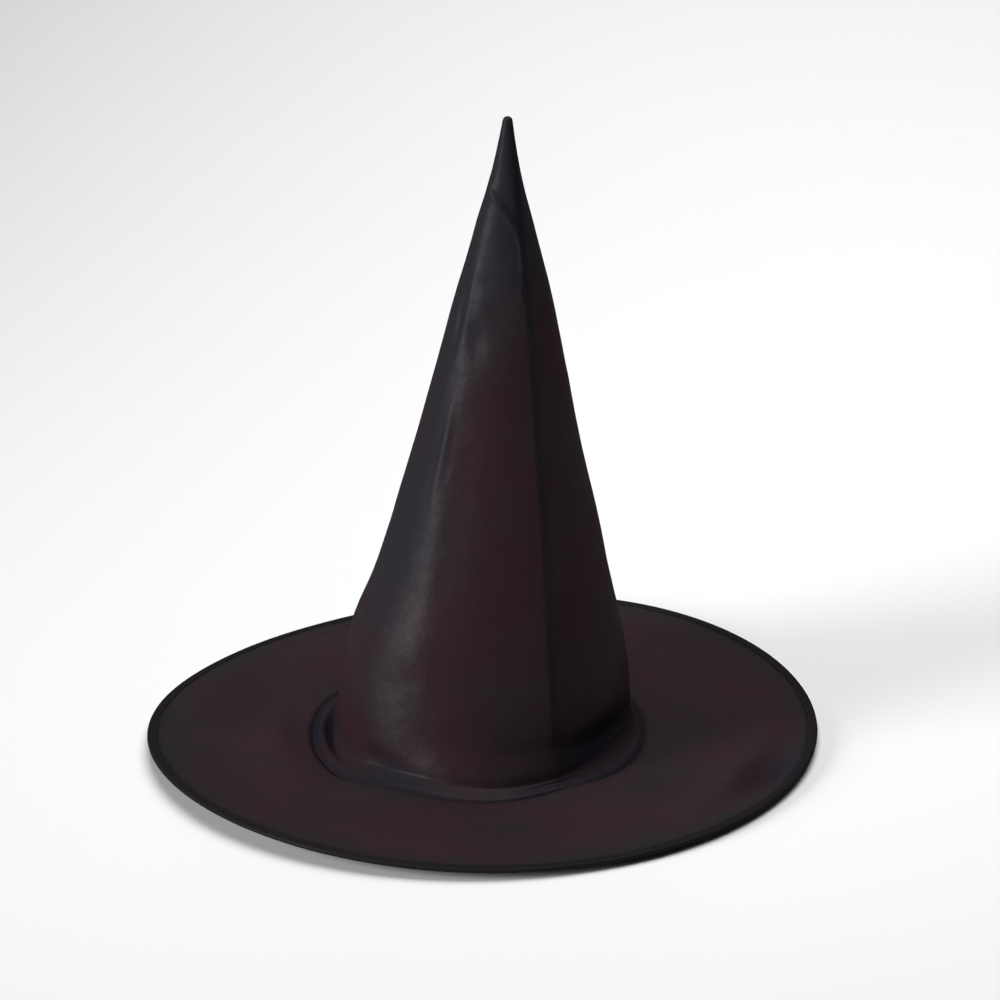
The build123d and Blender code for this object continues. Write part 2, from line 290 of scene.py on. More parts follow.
def fold_offset(azimuth, height, radius):
    """Relief of the tip's tucked fold: a lip along the line and a hollow above it."""
    across = np.radians(turn(azimuth)) * np.maximum(radius, 3.0)
    best = np.full(across.shape, 1e9)
    side = np.zeros(across.shape)
    corners = [np.array([np.radians(a) * through(h, CROWN_RADIUS), h]) for a, h in TIP_FOLD]
    for start, end in zip(corners, corners[1:]):
        run = end - start
        t = np.clip(((across - start[0]) * run[0] + (height - start[1]) * run[1]) / (run @ run), 0, 1)
        dx = across - start[0] - t * run[0]
        dz = height - start[1] - t * run[1]
        far = np.hypot(dx, dz)
        nearer = far < best
        best = np.where(nearer, far, best)
        side = np.where(nearer, np.sign(run[0] * dz - run[1] * dx), side)
    above = side * best
    lip = 0.7 * bell(above + 0.7, 1.1) * soft(-turn(azimuth), -60, -20)
    hollow = -1.3 * soft(above, 0.0, 1.8) * (1 - soft(above, 4, 22))
    return lip + hollow * facing(azimuth, 2, 62)


def pressed_step(azimuth, radius, crease, depth):
    """The wall steps in on the right of a pressed crease and comes back out slowly."""
    off = turn(azimuth - crease)
    across = np.radians(off) * radius
    return -depth * soft(across, -0.3, 5.0) * (1 - soft(off, 15, 60))


def crown_radius(azimuth, height):
    """Distance of the crown's outer face from its leaning centre line."""
    azimuth, height = np.broadcast_arrays(azimuth, height)
    radius = through(height, CROWN_RADIUS)
    firm = (0.35 + 0.65 * soft(height, 12, 75)) * (1 - soft(height, 285, 335))
    flat = np.zeros(radius.shape)
    for creased, loose, amount in FACETS:
        half = abs(creased - loose) / 2
        off = turn(azimuth - (creased + loose) / 2) * math.copysign(1, creased - loose)
        inside = np.abs(off) < half
        off = np.where(inside, off, 0)
        depth = 1 - math.cos(math.radians(half))
        sharp = 1 - math.cos(math.radians(half)) / np.cos(np.radians(off))
        rounded = depth * np.cos(off / half * math.pi / 2) ** 2
        flat = flat + amount * np.where(inside, np.where(off > 0, sharp, rounded), 0)
    edge = pressed_step(azimuth, radius, CREASE, 1.3) + pressed_step(azimuth, radius, BACK_CREASE, 1.0)
    seam = -0.7 * bell(np.radians(turn(azimuth - 180)) * radius, 1.0)
    pressed = firm * soft(radius, 4, 30) * (1 - soft(height, 290, 306))
    radius = radius * (1 - flat * firm) + edge * pressed
    radius = radius + lumps(azimuth, height, WALL_LUMPS) * soft(radius, 4, 30)
    ripple = 0.28 * np.sin(height / 2.1 + np.radians(azimuth) * 1.6 + 1.2 * np.sin(height / 9))
    radius = radius + ripple * facing(azimuth, -22, 24) * bell(height - 262, 26)
    radius = radius + np.where(height > 255, fold_offset(azimuth, height, radius), 0)
    return radius + seam * soft(radius, 2, 12)


def wall_points(azimuth, height):
    """Points of the crown's outer face above its foot."""
    azimuth, height = np.broadcast_arrays(azimuth, height)
    radius = crown_radius(azimuth, height)
    below_top = np.clip((TIP_HEIGHT - 0.02 - height) / TIP_ROUND, 0, 1)
    radius = radius * np.sqrt(1 - (1 - below_top) ** 2)
    plan = radius[..., None] * direction(azimuth)
    plan[..., 0] += through(height, CROWN_LEAN)
    return np.concatenate([plan, height[..., None]], axis=-1)


def flare_roundness(azimuth):
    """How round the foot's flare is: 0 is a steep hollow slope, 1 a quarter ellipse."""
    round_parts = 0.40 * facing(azimuth, -38, 20) + 0.50 * facing(azimuth, -95, 30)
    return 0.25 + round_parts + 0.50 * facing(azimuth, 75, 30) + 0.3 * facing(azimuth, 180, 80)


def foot_points(azimuth, share):
    """Points of the flared foot, from the seam (0) to the upright wall (1)."""
    azimuth, share = np.broadcast_arrays(azimuth, share)
    top = wall_points(azimuth, round_about(azimuth, FOOT_HEIGHT))
    seam = seam_ring(azimuth)
    swing = share * math.pi / 2
    roundness = flare_roundness(azimuth)
    hollow = 1.7 - 0.85 * facing(azimuth, 2, 28)
    out = roundness * (1 - np.sin(swing)) + (1 - roundness) * (1 - share) ** hollow
    rise = roundness * (1 - np.cos(swing)) + (1 - roundness) * share
    plan = top[..., :2] + out[..., None] * (seam[..., :2] - top[..., :2])
    height = seam[..., 2] + rise * (top[..., 2] - seam[..., 2])
    from_seam = np.hypot(*np.moveaxis(plan - seam[..., :2], -1, 0))
    height = height - groove_depth(azimuth) * bell(from_seam, 1.1)
    height = height + 0.5 * bell(from_seam - 4.0, 2.2) * facing(azimuth, -24, 14)
    double_fold = np.sin(from_seam * 1.9) * bell(from_seam - 5, 3.5) * facing(azimuth, 30, 17)
    height = height + 0.35 * double_fold
    notch = 1.8 * bell(from_seam - 6.5, 2.0) - 3.0 * bell(from_seam - 11.5, 2.6)
    height = height + notch * facing(azimuth, -90, 22)
    return np.concatenate([plan, height[..., None]], axis=-1)


FOOT_ROWS = np.concatenate([np.linspace(0, 0.12, 5)[:-1], np.linspace(0.12, 1, 19)])


def crown_grid(azimuths, top, shares):
    """Rows of the crown's outer face from the seam up to a height, lifted to stand on the floor.

    shares are the rows above the foot, as fractions of the way from the foot to the top.
    """
    foot = foot_points(azimuths, FOOT_ROWS[:, None])
    start = round_about(azimuths, FOOT_HEIGHT)
    wall = wall_points(azimuths, start + shares[:, None] * (top - start))
    grid = np.concatenate([foot, wall])
    relief = 0.50 * grain(grid, 38, 3.1) + 0.15 * grain(grid, 14, 7.7)
    calm = soft(grid[..., 2], 2, 14) * (1 - soft(grid[..., 2], 330, 360))
    grid[..., :2] += (relief * calm)[..., None] * direction(azimuths)
    grid[..., 2] += LIFT
    return grid


def normals(grid, closed):
    """Outward unit normals of a grid whose columns go round the hat."""
    around = np.concatenate([grid[:, -1:], grid, grid[:, :1]], axis=1) if closed else grid
    across = np.gradient(around, axis=1)
    across = across[:, 1:-1] if closed else across
    return unit(np.cross(across, np.gradient(grid, axis=0)))


# -------- meshes


def added(name, data):
    """A new object in the scene."""
    made = bpy.data.objects.new(name, data)
    bpy.context.scene.collection.objects.link(made)
    return made


def mesh_object(name, points, faces, corner_uv, masks=None):
    """A smooth mesh object from points in mm, faces as index lists and one UV per face corner."""
    mesh = bpy.data.meshes.new(name)
    mesh.from_pydata((np.asarray(points) * MM).tolist(), [], faces)
    layer = mesh.uv_layers.new(name="flat")
    layer.data.foreach_set("uv", (np.asarray(corner_uv) * MM).astype(np.float32).ravel())
    for mask, values in (masks or {}).items():
        attribute = mesh.attributes.new(mask, "FLOAT", "POINT")
        attribute.data.foreach_set("value", np.asarray(values, np.float32).ravel())
    mesh.polygons.foreach_set("use_smooth", np.ones(len(mesh.polygons), bool))
    work = bmesh.new()
    work.from_mesh(mesh)
    bmesh.ops.recalc_face_normals(work, faces=work.faces)
    work.to_mesh(mesh)
    work.free()
    mesh.update()
    return added(name, mesh)


def loop_faces(index, uv, closed=True, skipped=None):
    """Faces and corner UVs of a grid of points whose last row meets its first.

    uv has one row more than the grid, and one column more where the grid is closed.
    """
    rows, columns = index.shape
    faces, corner_uv = [], []
    for r in range(rows):
        if r == skipped:
            continue
        s = (r + 1) % rows
        for c in range(columns if closed else columns - 1):
            d = (c + 1) % columns
            faces.append((index[r][c], index[r][d], index[s][d], index[s][c]))
            corner_uv += [uv[r][c], uv[r][c + 1], uv[r + 1][c + 1], uv[r + 1][c]]
    return faces, corner_uv


def shell(name, outer, inner, uv, closed=True, pole=False, tints=None):
    """A cloth of real thickness between two grids of points.

    closed: the last column meets the first round the hat. pole: the last row ends in a point.
    tints: named masks of painted shade and painted sheen tone for the material, one value per point of the
    outer grid.
    """
    rows, columns = outer.shape[:2]
    points = np.concatenate([outer.reshape(-1, 3), inner.reshape(-1, 3)])
    index = np.arange(2 * rows * columns).reshape(2, rows, columns)
    round_both = np.concatenate([index[0], index[1][::-1]])
    round_uv = np.concatenate([uv, uv[::-1], uv[:1]])
    faces, corner_uv = loop_faces(round_both, round_uv, closed, skipped=rows - 1 if pole else None)
    if not closed:
        for c in (0, columns - 1):
            for r in range(rows - 1):
                faces.append((index[0][r][c], index[0][r + 1][c], index[1][r + 1][c], index[1][r][c]))
                corner_uv += [uv[r][c], uv[r + 1][c], uv[r + 1][c], uv[r][c]]
    if pole:
        for last_row in index[:, -1]:
            centre = len(points)
            points = np.concatenate([points, points[last_row].mean(axis=0, keepdims=True)])
            for c in range(columns):
                faces.append((last_row[c], last_row[(c + 1) % columns], centre))
                corner_uv += [uv[-1][c], uv[-1][c + 1], uv[-1][c]]
    masks = {}
    for mask, values in (tints or {}).items():
        both_sides = np.tile(values.ravel(), 2)
        at_poles = np.full(len(points) - len(both_sides), values[-1, -1])
        masks[mask] = np.concatenate([both_sides, at_poles])
    return mesh_object(name, points, faces, np.array(corner_uv), masks)


def stand(piece, node, material):
    """The piece stands for a CAD node, rides the hat's body and takes its finish."""
    piece.data.materials.append(material)
    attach(piece, HAT)
    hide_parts(node)
    return piece


def rings(count):
    return np.linspace(-180, 180, int(count * DETAIL), endpoint=False)


def flat_uv(across, along):
    """Flat places from how far each column and each row lies along the cloth, in mm."""
    return np.stack(np.meshgrid(across, along), axis=-1)


def strip_uv(azimuths, radius, along):
    """Flat places on a strip that goes round the hat at a radius."""
    return flat_uv(np.radians(np.append(azimuths, 180.0)) * radius, along)


def polar_uv(azimuths, radii):
    """Flat places on a ring of cloth, one more column than points so that the last face closes."""
    full = np.append(azimuths, 180.0)
    return np.asarray(radii)[:, None, None] * direction(full)


# -------- materials


class Recipe:
    """A Principled material with named procedural steps."""

    def __init__(self, name):
        self.material = bpy.data.materials.new(name)
        self.material.use_nodes = True
        self.nodes = self.material.node_tree.nodes
        self.links = self.material.node_tree.links
        self.shader = self.nodes["Principled BSDF"]

    def feed(self, socket, value):
        """Link another node's output to an input, or set the input's own value."""
        if isinstance(value, bpy.types.NodeSocket):
            self.links.new(value, socket)
        else:
            socket.default_value = value

    def node(self, kind, inputs=(), **settings):
        made = self.nodes.new(kind)
        for key, value in settings.items():
            setattr(made, key, value)
        for key, value in dict(inputs).items():
            self.feed(made.inputs[key], value)
        return made

    def place(self, source="UV", scale=(1.0, 1.0, 1.0)):
        """Texture coordinates stretched by a scale for each axis."""
        where = self.node("ShaderNodeTexCoord").outputs[source]
        return self.node("ShaderNodeMapping", {"Vector": where, "Scale": scale}).outputs[0]

    def noise(self, vector, scale, detail=2.0, roughness=0.5):
        inputs = {"Vector": vector, "Scale": scale, "Detail": detail, "Roughness": roughness}
        return self.node("ShaderNodeTexNoise", inputs).outputs["Fac"]

    def bands(self, vector, across, scale, distortion):
        """Soft stripes across a direction."""
        inputs = {"Vector": vector, "Scale": scale, "Distortion": distortion}
        return self.node("ShaderNodeTexWave", inputs, bands_direction=across).outputs["Fac"]

    def span(self, value, low, high, start=0.0, end=1.0):
        """A value rescaled from low..high to start..end, clamped."""
        inputs = {"Value": value, "From Min": low, "From Max": high, "To Min": start, "To Max": end}
        return self.node("ShaderNodeMapRange", inputs).outputs["Result"]

    def mix(self, factor, first, second):
        """A colour between two, by a factor."""
        return self.node("ShaderNodeMix", {0: factor, 6: first, 7: second}, data_type="RGBA").outputs[2]

    def calc(self, operation, first, second):
        return self.node("ShaderNodeMath", {0: first, 1: second}, operation=operation).outputs[0]

    def bump(self, height, strength, distance, under=None):
        inputs = {"Height": height, "Strength": strength, "Distance": distance}
        if under is not None:
            inputs["Normal"] = under
        return self.node("ShaderNodeBump", inputs).outputs["Normal"]

    def mask(self, name):
        return self.node("ShaderNodeAttribute", attribute_name=name).outputs["Fac"]

    def finish(self, **inputs):
        for key, value in inputs.items():
            self.feed(self.shader.inputs[key.replace("_", " ")], value)
        return self.material


def satin(name, warm, cool, shine=0.023):
    """Black polyester satin: floats along the warp, soft creasing, random warm and greyer patches, painted
    blue-black shade where the fold mask lies, and a painted greyer, lighter sheen tone where the other mask
    lies.

    Its gloss comes from the bright floats, a sparse coat over a matt ground, so it stays dark at its edges.
    """
    r = Recipe(name)
    fibres = r.noise(r.place("UV", (420.0, 5200.0, 1.0)), 1.0, 3.0, 0.6)
    crumple = r.noise(r.place("Object"), 75.0, 3.0, 0.55)
    pools = r.noise(r.place("Object"), 14.0, 3.0, 0.6)
    # The noise pools give random tone patches. The mask added to them is painted sheen: a greyer, lighter
    # black laid where the cloth faces the light.
    patch = r.calc("ADD", r.span(pools, 0.42, 0.62, 0.0, 0.6), r.mask("cool"))
    patch = r.span(patch, 0.0, 1.0)
    cloth = r.mix(patch, warm, cool)
    # Painted shade: the fold mask turns the cloth blue-black in creases, in the seam and in hollows.
    shaded_folds = r.mix(r.mask("fold"), cloth, CREASE_SHADE_BLACK)
    strand = r.mix(r.span(fibres, 0.35, 0.7, 0.0, 0.22), shaded_folds, FLOAT_LIGHT)
    fine = r.bump(fibres, 0.25, 0.0001)
    worn = r.bump(crumple, 0.35, 0.0016, fine)
    rough = r.calc("ADD", r.span(fibres, 0.3, 0.7, 0.35, 0.45), r.span(pools, 0.3, 0.7, -0.03, 0.05))
    return r.finish(
        Base_Color=strand,
        Roughness=rough,
        Normal=worn,
        Specular_IOR_Level=0.0,
        Coat_Weight=r.span(crumple, 0.3, 0.7, 0.8 * shine, 1.2 * shine),
        Coat_Roughness=0.38,
        Coat_IOR=2.5,
        Coat_Normal=worn,
        Sheen_Weight=0.008,
        Sheen_Roughness=0.45,
        Sheen_Tint=(0.75, 0.7, 0.75, 1.0),
    )


def woven(name, base, light, scale, rough=0.75, depth=0.5):
    """A plain or ribbed weave of a pitch in metres, from two crossed wave patterns."""
    r = Recipe(name)
    uv = r.place()
    warp = r.bands(uv, "X", 0.314 / scale[0], 0.4)
    weft = r.bands(uv, "Y", 0.314 / scale[1], 0.4)
    cross = r.calc("MULTIPLY", warp, weft)
    slub = r.noise(r.place("Object", (300.0, 300.0, 300.0)), 1.0, 3.0)
    tone = r.calc("MULTIPLY", cross, r.span(slub, 0.3, 0.7, 0.6, 1.0))
    return r.finish(
        Base_Color=r.mix(tone, base, light),
        Roughness=r.span(slub, 0.3, 0.7, rough - 0.08, rough + 0.08),
        Normal=r.bump(cross, depth, 0.0002),
        Specular_IOR_Level=0.35,
        Sheen_Weight=0.2,
        Sheen_Roughness=0.5,
    )


def felted(name, base, light):
    """Nonwoven interlining: pressed short fibres with fine dots of glue."""
    r = Recipe(name)
    where = r.place("Object")
    fibre = r.noise(where, 900.0, 4.0, 0.7)
    dots = r.node("ShaderNodeTexVoronoi", {"Vector": where, "Scale": 450.0}).outputs["Distance"]
    tone = r.calc("MULTIPLY", r.span(fibre, 0.35, 0.7), r.span(dots, 0.1, 0.5, 0.6, 1.0))
    return r.finish(
        Base_Color=r.mix(tone, base, light),
        Roughness=r.span(fibre, 0.3, 0.7, 0.8, 0.95),
        Normal=r.bump(fibre, 0.4, 0.0002),
        Specular_IOR_Level=0.25,
    )


def thread_material(name, base, light):
    """Twisted sewing thread."""
    r = Recipe(name)
    ply = r.bands(r.place(), "DIAGONAL", 700.0, 0.8)
    return r.finish(
        Base_Color=r.mix(ply, base, light),
        Roughness=r.span(ply, 0.0, 1.0, 0.42, 0.6),
        Normal=r.bump(ply, 0.6, 0.0001),
        Specular_IOR_Level=0.2,
    )


def metal(name, colour, rough, streak):
    """Drawn or crimped metal with fine scratches along the work."""
    r = Recipe(name)
    scratch = r.noise(r.place("UV", streak), 1.0, 4.0, 0.6)
    stain = r.noise(r.place("Object"), 60.0, 3.0)
    dull = tuple(0.7 * c for c in colour[:3]) + (1.0,)
    return r.finish(
        Base_Color=r.mix(r.span(stain, 0.4, 0.7), colour, dull),
        Metallic=1.0,
        Roughness=r.span(scratch, 0.3, 0.7, rough - 0.06, rough + 0.08),
        Normal=r.bump(scratch, 0.2, 0.00005),
    )


# The warm and greyer blacks make random tone patches. The greyer ones are also laid as painted sheen tone
# where the crown and brim face the light.
WARM = (0.0208, 0.0094, 0.0120, 1.0)
COOL = (0.0150, 0.0142, 0.0180, 1.0)
# The brim's blacks are lighter than the crown's: painted light for its upward face. The binding's are
# darker: painted shade for the dark rim.
LIT_BRIM_WARM = (0.0266, 0.0141, 0.0167, 1.0)
LIT_BRIM_COOL = (0.0165, 0.0155, 0.0175, 1.0)
SHADED_BINDING_WARM = (0.009, 0.008, 0.009, 1.0)
SHADED_BINDING_COOL = (0.007, 0.0075, 0.009, 1.0)
# Painted shade: the blue-black laid into creases, the seam and hollows.
CREASE_SHADE_BLACK = (0.006, 0.0068, 0.0115, 1.0)
FLOAT_LIGHT = (0.045, 0.034, 0.038, 1.0)  # the warp's floats where they catch the light
TAPE_DARK = (0.006, 0.006, 0.007, 1.0)
TAPE_LIGHT = (0.04, 0.04, 0.043, 1.0)
LABEL_DARK = (0.62, 0.61, 0.58, 1.0)
LABEL_LIGHT = (0.86, 0.85, 0.82, 1.0)
crown_satin = satin("crown_satin", WARM, COOL)
brim_satin = satin("brim_satin", LIT_BRIM_WARM, LIT_BRIM_COOL, shine=0.02)
binding_satin = satin("binding_satin", SHADED_BINDING_WARM, SHADED_BINDING_COOL, shine=0.015)
stiffener_felt = felted("stiffener_felt", (0.030, 0.030, 0.033, 1.0), (0.075, 0.075, 0.08, 1.0))
tape_grosgrain = woven("tape_grosgrain", TAPE_DARK, TAPE_LIGHT, (0.0011, 0.0035))
label_satin = woven("label_satin", LABEL_DARK, LABEL_LIGHT, (0.0004, 0.0009), rough=0.5, depth=0.3)
black_thread = thread_material("black_thread", (0.004, 0.0035, 0.0045, 1.0), (0.014, 0.012, 0.014, 1.0))
spring_steel = metal("spring_steel", (0.56, 0.57, 0.58, 1.0), 0.28, (30.0, 6000.0, 1.0))
crimped_tube = metal("crimped_tube", (0.78, 0.78, 0.79, 1.0), 0.34, (800.0, 800.0, 1.0))


# -------- crown cloth


def crown_azimuths(count):
    """Azimuths round the crown, closer together at the creases and at the back seam."""
    fine = np.linspace(-180, 180, 3601)
    density = 1 + 2.0 * facing(fine, CREASE, 8) + 1.2 * facing(fine, -50, 12)
    density = density + 1.0 * facing(fine, BACK_CREASE, 8) + 3.0 * facing(fine, 180, 2.5)
    return spread_out(fine, density, np.arange(count) / count)


SECTOR = 588.0 / 392.0  # radians that the crown's flat cut spans
APEX = 378.0  # height of the cone's point above the seam
SLANT = 1.035  # length of cloth for a millimetre of height


def sector_uv(azimuths, heights):
    """Flat places on the crown's sector of cloth, in mm."""
    slant = (APEX - np.asarray(heights)) * SLANT
    full = np.append(azimuths, 180.0) * SECTOR / (2 * math.pi)
    return slant[:, None, None] * direction(full)


def crown_shade_and_sheen(azimuths, heights):
    """Masks that paint light and shade into the crown's cloth: blue-black painted shade in its creases, seam
    and hollows, and a greyer, lighter painted sheen tone where it faces the light.
    """
    a, h = np.meshgrid(azimuths, heights)
    across = np.radians(turn(a - CREASE)) * through(h, CROWN_RADIUS)
    # Painted shade: blue-black along the right side of the pressed crease and down in the seam.
    fold = 0.9 * bell(across - 3.0, 2.6) * soft(h, 20, 60) + 0.5 * (1 - soft(h, 3.2, 4.2))
    # Painted shade along a small dent on the left side.
    fold = fold + 0.25 * facing(a, -33, 4) * soft(h, 60, 140) * (1 - soft(h, 200, 260))
    # Painted shade under the bulge at lower right, on the front ledge and in the notch at the left.
    fold = fold + lumps(a, h, [(48, 16, 26, 12, 0.9), (16, 8, 20, 6, 0.45), (-92, 8, 14, 8, 0.8)])
    # Painted sheen tone: a greyer, lighter black at the tip, on the foot at front left and on the lit left
    # side.
    cool = soft(h, 235, 300) + lumps(a, h, [(-35, 5, 26, 9, 0.9)])
    cool = cool + 0.8 * facing(a, -66, 22) * soft(h, 70, 150)
    cool = cool + 0.6 * facing(a, -48, 12) * soft(h, 20, 60)
    return {"fold": np.clip(fold, 0, 1), "cool": np.clip(cool, 0, 1)}


def crown_shares(count):
    """Rows above the foot, closest together at the tucked tip and round the point."""
    foot = 12  # about the foot's height
    fine = np.linspace(foot, TIP_HEIGHT - TIP_ROUND, 1001)
    density = 0.17 + 0.45 * (1 - soft(fine, 28, 60)) + 0.15 * soft(fine, 165, 200)
    density = density + 0.38 * soft(fine, 262, 278) * (1 - soft(fine, 332, 340))
    heights = spread_out(fine, density, np.arange(1, count + 1) / count)
    cap = TIP_HEIGHT - TIP_ROUND * (1 - np.sin(np.radians([15, 30, 45, 58, 70, 80, 87])))
    return (np.append(heights, cap) - foot) / (TIP_HEIGHT - foot)


CROWN_AZIMUTHS = crown_azimuths(int(330 * DETAIL))
crown_outer = crown_grid(CROWN_AZIMUTHS, TIP_HEIGHT, crown_shares(int(119 * DETAIL)))
crown_normals = normals(crown_outer, True)


def crown_layer(depth):
    """Every second row and column of the crown where it is lined, set in from its face by a depth."""
    heights = crown_outer[..., 2].mean(axis=1) - LIFT
    rows = np.flatnonzero((heights > INTERLINING_BOTTOM) & (heights < INTERLINING_TOP))[::2]
    return crown_outer[rows][:, ::2] - depth * crown_normals[rows][:, ::2]


def make_crown_cloth():
    azimuths = CROWN_AZIMUTHS
    raw_edge = crown_outer[:1] - (0, 0, RAW_EDGE)
    outer = np.concatenate([raw_edge, crown_outer])
    inner = outer - CROWN_CLOTH * normals(outer, True)
    heights = outer[..., 2].mean(axis=1) - LIFT
    uv = sector_uv(azimuths, heights)
    piece = shell("crown_cloth", outer, inner, uv, pole=True, tints=crown_shade_and_sheen(azimuths, heights))
    return stand(piece, "crown_shell", crown_satin)


crown_cloth = make_crown_cloth()


# -------- brim


def brim_radii(count, finest=0.35):
    """Radii from the seam out to the edge of the layers, closest together at the seam."""
    share = np.linspace(0, 1, count)
    width = LAYERS_RADIUS - SEAM_RADIUS
    return SEAM_RADIUS + width * (finest * count / width * share + (1 - finest * count / width) * share**1.6)


def collar(azimuths, depth, first):
    """Where a brim cloth turns up inside the crown, from a share of the foot to the allowance's top."""
    rows = int(10 * DETAIL)
    outer = crown_grid(azimuths, ALLOWANCE_TOP, np.linspace(0, 1, rows + 1)[1:])
    inward = outer - depth * normals(outer, True)
    keep = np.concatenate([FOOT_ROWS >= first, np.ones(rows, bool)])
    return inward[keep][::2] if DETAIL < 1 else inward[keep]


def brim_shade_and_sheen(azimuths, radii):
    """Masks that paint light and shade into the brim's upper cloth: blue-black painted shade at the seam,
    inside the rim and in hollows, and a greyer painted sheen tone near the rim and at the seam's front left.
    """
    a, r = np.meshgrid(azimuths, radii)
    # Painted shade at the seam, just inside the rim, in the dimple at the right and in a hollow at the left.
    fold = 0.7 * bell(r - SEAM_RADIUS, 3) + 0.6 * bell(r - 186, 3)
    fold = fold + lumps(a, r, [(70, 174, 9, 8, 0.55), (-112, 138, 18, 22, 0.22)])
    # Painted sheen tone: a greyer black near the rim and beside the seam at front left.
    cool = 0.8 * soft(r, 168, 186) + lumps(a, r, [(-30, 100, 26, 9, 0.6)])
    return {"fold": np.clip(fold, 0, 1), "cool": np.clip(cool, 0, 1)}


def brim_cloth(name, node, azimuths, radii, ring, turned_up, tints=None):
    """A cloth from the brim's edge in to the seam, and then up inside the crown."""
    grid = np.concatenate([ring[::-1], turned_up])
    out = normals(grid, True) * CLOTH / 2
    flat = np.concatenate([radii[::-1], SEAM_RADIUS - np.linspace(1, 18, len(turned_up))])
    masks = tints(azimuths, flat) if tints else None
    piece = shell(name, grid - out, grid + out, polar_uv(azimuths, flat), tints=masks)
    return stand(piece, node, brim_satin)


def make_brim_top_cloth():
    azimuths = rings(480)
    radii = brim_radii(int(72 * DETAIL))
    top = brim_points(azimuths, radii[:, None], SEAM_HEIGHT - CLOTH / 2)
    top[..., 2] -= groove_depth(azimuths) * bell(radii[:, None] - SEAM_RADIUS, 1.2)
    wrinkle = 0.22 * grain(top, 30, 1.7) + 0.07 * grain(top, 9, 4.2)
    calm = soft(radii, SEAM_RADIUS, SEAM_RADIUS + 8) * (1 - soft(radii, LAYERS_RADIUS - 5, LAYERS_RADIUS))
    top[..., 2] += np.abs(wrinkle) * calm[:, None]
    turned_up = collar(azimuths, TOP_CLOTH_DEPTH, 0.10)
    return brim_cloth("brim_top_satin", "brim_top_cloth", azimuths, radii, top, turned_up, brim_shade_and_sheen)


brim_top_satin = make_brim_top_cloth()


def make_brim_interlining():
    azimuths = rings(300)
    radii = np.linspace(SEAM_RADIUS + 0.8, LAYERS_RADIUS, int(44 * DETAIL))
    low = brim_points(azimuths, radii[:, None], STIFFENER_BOTTOM + STIFFENER_INSET)
    high = brim_points(azimuths, radii[:, None], STIFFENER_TOP - STIFFENER_INSET)
    high[..., 2] -= bell(radii - SEAM_RADIUS, 1.6)[:, None] * groove_depth(azimuths)
    piece = shell("brim_stiffener", high, low, polar_uv(azimuths, radii))
    return stand(piece, "brim_interlining", stiffener_felt)


def make_brim_under_cloth():
    azimuths = rings(360)
    radii = brim_radii(int(56 * DETAIL), 0.8)
    low = brim_points(azimuths, radii[:, None], UNDER_CLOTH_BOTTOM + CLOTH / 2)
    turned_up = collar(azimuths, UNDER_CLOTH_DEPTH, 0.15)
    return brim_cloth("brim_under_satin", "brim_under_cloth", azimuths, radii, low, turned_up)


brim_stiffener = make_brim_interlining()
brim_under_satin = make_brim_under_cloth()


BINDING_HALF = 0.2  # half the thickness of the binding's cloth


def binding_profile():
    """Radius and height along the middle of the binding's cloth, from under the brim round to the top."""
    low = [(BINDING_INNER + x, BINDING_HALF) for x in (0.0, 0.5, 1.5, 2.6, 3.4)]
    bend = np.radians(np.linspace(-90, 90, 9))
    middle = EDGE_ROUND - BINDING_HALF
    turn_round = [(EDGE_CENTRE + middle * math.cos(b), EDGE_ROUND + middle * math.sin(b)) for b in bend]
    inwards = (3.4, 2.6, 2.0, 1.5, 1.2, 0.9, 0.5, 0.2, 0.0)
    high = [(BINDING_INNER + x, BINDING_TOP - BINDING_HALF) for x in inwards]
    return np.array(low + turn_round + high)


def make_binding():
    azimuths = rings(900)
    profile = binding_profile()
    a = np.radians(azimuths)
    ripple = 0.10 * np.sin(a * 118) + 0.08 * np.sin(a * 71 + 2)
    uneven = 0.25 * np.sin(a * 9 + 1) + 0.2 * np.sin(a * 23)
    inner_edge = bell(profile[:, 0] - BINDING_INNER, 1.6)[:, None]
    radii = profile[:, :1] - uneven * inner_edge
    held = bell(profile[:, 0] - STITCH_RADIUS, 0.8)[:, None]
    upper = (profile[:, 1:] > EDGE_ROUND).astype(float)
    heights = profile[:, 1:] + upper * (ripple * inner_edge - 0.12 * held)
    grid = brim_points(azimuths, radii, np.maximum(heights, BINDING_HALF))
    out = normals(grid, True) * BINDING_HALF
    uv = strip_uv(azimuths, BRIM_RADIUS, distance_along(profile))
    piece = shell("brim_binding", grid - out, grid + out, uv)
    return stand(piece, "brim_edge_binding", binding_satin)


brim_binding = make_binding()


# -------- threads and wire


def tube(points, radius, sides, closed=False):
    """Rings of points round a line, as a grid of rows along the line."""
    along = np.gradient(points, axis=0)
    if closed:
        along = np.roll(points, -1, axis=0) - np.roll(points, 1, axis=0)
    along = unit(along)
    side = unit(np.cross(along, (0, 0, 1.0)))
    up = np.cross(side, along)
    turns = np.linspace(0, 2 * math.pi, sides, endpoint=False)
    radius = np.broadcast_to(radius, len(points))[:, None, None]
    ring = np.cos(turns)[:, None] * side[:, None] + np.sin(turns)[:, None] * up[:, None]
    return points[:, None] + radius * ring


STITCH_DIP = 0.14  # how deep a stitch's ends lie in the cloth


